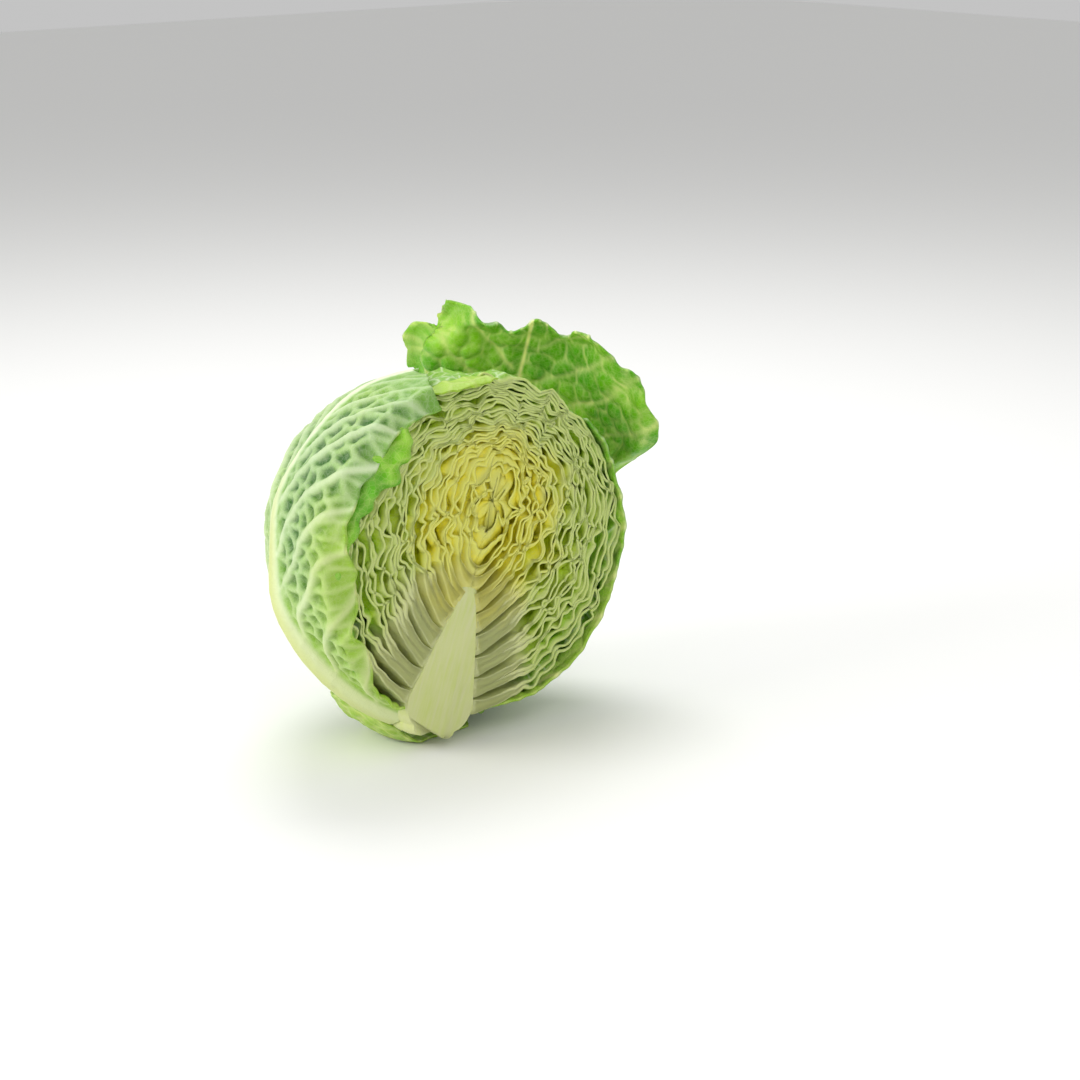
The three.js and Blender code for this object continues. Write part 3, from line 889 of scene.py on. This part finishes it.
class CABBAGE_OT_back_leaf(bpy.types.Operator):
    """Models the open leaf that stands behind the head"""
    bl_idname = "cabbage.back_leaf"
    bl_label = "Back leaf"

    def execute(self, context):
        _, leaves, tint = sizes()
        rad = math.radians
        high = lambda u: rad(159) - 0.22 * np.abs(u) ** 3 + 0.045 * np.sin(u * 9 + 1) + 0.012 * np.sin(u * 23)
        left = lambda latitude: rad(14) - rad(21) * smooth(latitude, rad(108), rad(130)) + 0.012 * np.sin(
            latitude * 23)
        right = lambda latitude: rad(76) + rad(9) * smooth(latitude, rad(116), rad(136)) + 0.014 * np.sin(
            latitude * 17)
        share = 1.215
        point, across, along, u, v, _ = outer_patch(
            share, 0.012, rad(46), rad(8.5), high, left, right, 220, 190)
        net = vein_net(point, across, along, 23, leaves.blister * 1.15, 0.0042, 0.030, 0.85, 0.55)
        margin = np.maximum(smooth(v, 0.80, 1.0), smooth(np.abs(u), 0.88, 1.0) * smooth(v, 0.3, 0.6))
        net["pit_and_shade"] = net["pit_and_shade"] * (1 - 0.8 * margin)
        net["vein"] = np.clip(net["vein"] * 1.4, 0, 1)
        ruffle = noise(point, 0.016, 24) + 0.35 * noise(point, 0.008, 25)
        flare = margin ** 1.5 * (0.0050 * ruffle + 0.0065) + 0.004 * noise(point, 0.05, 26)
        point = point + outward(point) * flare[..., None]
        curl = smooth(u, 0.72, 1.0) * smooth(v, 0.55, 0.9)
        point = point + outward(point) * (0.010 * curl ** 2)[..., None]
        piece = savoy_sheet("back_leaf_blade", point, net, leaves.blade, leaves.blister_depth * 0.85,
                            0.004 * smooth(-along, -0.2, -0.05) + 0.0008)
        settle(join_objects("back_leaf_savoy", [piece]), ["back_leaf"],
               savoy_material("Savoy leaf, glossy upper side", tint, 0.36, 0.35))
        return {"FINISHED"}


class CABBAGE_OT_bottom_leaf(bpy.types.Operator):
    """Models the loose leaf under the head, pressed flat, with its margin showing at the left"""
    bl_idname = "cabbage.bottom_leaf"
    bl_label = "Bottom leaf"

    def execute(self, context):
        _, leaves, tint = sizes()
        rows, columns = 70, 260
        angle = np.linspace(0, 2 * math.pi, columns)[None, :] * np.ones((rows, 1))
        along = np.linspace(0.02, 1, rows)[:, None] * np.ones((1, columns))
        toward = np.exp(-((angle - math.radians(182)) / math.radians(34)) ** 2)
        circle = np.stack([np.cos(angle), np.sin(angle), 0 * angle], -1)
        wave = noise(circle * 0.05, 0.016, 31)
        front = np.exp(-((angle - math.radians(262)) / math.radians(48)) ** 2)
        edge = 0.022 + 0.037 * toward - 0.005 * front + 0.0020 * wave
        radius = along * edge
        lift = np.clip((radius - 0.026) / 0.030, 0, 1) ** 1.4 * 0.030
        height = 0.0012 + lift + toward * smooth(along, 0.7, 1) * 0.004 * noise(circle * 0.05, 0.007, 32)
        world = np.stack([radius * np.cos(angle), radius * np.sin(angle), height], -1)
        world[..., 1] = np.maximum(world[..., 1], BOTTOM_LEAF_FRONT)
        head = sizes()[0]
        turn = np.array(Matrix.Rotation(head.lean, 3, "Y"))
        point = (world - np.array(head.middle)) @ turn
        net = plain_net(world, 33, leaves.blister * 0.9)
        net["pit_and_shade"] = net["pit_and_shade"] * smooth(radius, 0.03, 0.045)
        piece = savoy_sheet("bottom_leaf_blade", point[:, ::-1], {k: n[:, ::-1] for k, n in net.items()},
                            leaves.blade, 0.0018, np.zeros_like(radius), upper=(0.0, 0.8), margin=0.7)
        settle(join_objects("bottom_leaf_savoy", [piece]), ["bottom_leaf"],
               savoy_material("Savoy leaf, loose and flattened", tint, 0.4, 0.35))
        return {"FINISHED"}


# ---------------------------------------------------------------- stage

def direction(turn, rise):
    """A unit vector from the head: turn is measured from the front towards +X, rise from level."""
    return Vector((math.sin(turn) * math.cos(rise), -math.cos(turn) * math.cos(rise), math.sin(rise)))


class CABBAGE_OT_stage(bpy.types.Operator):
    """Sets the pale floor, the soft studio light and the camera"""
    bl_idname = "cabbage.stage"
    bl_label = "Stage"

    def execute(self, context):
        bpy.ops.object.select_all(action="DESELECT")
        bpy.ops.mesh.primitive_plane_add(size=8)
        floor = context.object
        floor.name = floor.data.name = "floor"
        material, tree = new_material("Matt white paper sweep")
        shader = add(tree, "ShaderNodeBsdfPrincipled", {"Base Color": (*linear("#f4f4f2"), 1),
                                                        "Roughness": 0.9})
        add(tree, "ShaderNodeOutputMaterial", {"Surface": shader.outputs[0]})
        floor.data.materials.append(material)
        world = bpy.data.worlds.new("studio")
        world.use_nodes = True
        background = world.node_tree.nodes["Background"]
        background.inputs["Color"].default_value = (1, 1, 1, 1)
        background.inputs["Strength"].default_value = 0.55
        context.scene.world = world
        context.scene.view_settings.view_transform = "Standard"
        middle = Vector(sizes()[0].middle)
        for name, azimuth, height, distance, size, power in (
                ("key", -106, 24, 1.3, 0.6, 8.5), ("fill", -15, 38, 1.6, 1.0, 5.5),
                ("top", 140, 60, 1.4, 0.8, 11)):
            light = bpy.data.lights.new(name, "AREA")
            light.size, light.energy = size, power
            lamp = bpy.data.objects.new(name, light)
            away = direction(math.radians(azimuth), math.radians(height))
            lamp.location = middle + away * distance
            lamp.rotation_euler = (-away).to_track_quat("-Z", "Y").to_euler()
            context.collection.objects.link(lamp)
        view = bpy.data.cameras.new("camera")
        view.lens, view.sensor_width = 85, 36
        camera = bpy.data.objects.new("camera", view)
        context.collection.objects.link(camera)
        context.scene.camera = camera
        turn, rise, distance = math.radians(-41), math.radians(16), 1.30
        away = direction(turn, rise)
        aim = middle + Vector((math.cos(turn), math.sin(turn), 0)) * 0.036 + Vector((0, 0, 0.003))
        camera.location = aim + away * distance
        camera.rotation_euler = (-away).to_track_quat("-Z", "Y").to_euler()
        return {"FINISHED"}


# ---------------------------------------------------------------- add-on

class CABBAGE_PT_panel(bpy.types.Panel):
    """Lists the cabbage's pieces and settings"""
    bl_idname = "CABBAGE_PT_panel"
    bl_label = "Cabbage half head"
    bl_space_type = "VIEW_3D"
    bl_region_type = "UI"
    bl_category = "Cabbage"

    def draw(self, context):
        for operator in PIECES:
            self.layout.operator(operator.bl_idname)
        for group in sizes():
            for name in group.__annotations__:
                self.layout.prop(group, name)


PIECES = (CABBAGE_OT_core, CABBAGE_OT_packed_leaves, CABBAGE_OT_wrapper_leaves, CABBAGE_OT_back_leaf,
          CABBAGE_OT_bottom_leaf, CABBAGE_OT_stage)
GROUPS = (("cabbage_head", HeadSizes), ("cabbage_leaves", LeafSizes), ("cabbage_colours", LeafColours))


def register():
    for name, group in GROUPS:
        bpy.utils.register_class(group)
        setattr(bpy.types.Scene, name, PointerProperty(type=group))
    for operator in PIECES:
        bpy.utils.register_class(operator)
    bpy.utils.register_class(CABBAGE_PT_panel)


def unregister():
    bpy.utils.unregister_class(CABBAGE_PT_panel)
    for operator in PIECES:
        bpy.utils.unregister_class(operator)
    for name, group in GROUPS:
        delattr(bpy.types.Scene, name)
        bpy.utils.unregister_class(group)


def main():
    register()
    for operator in PIECES:
        group, name = operator.bl_idname.split(".")
        getattr(getattr(bpy.ops, group), name)()


if __name__ == "__main__":
    main()
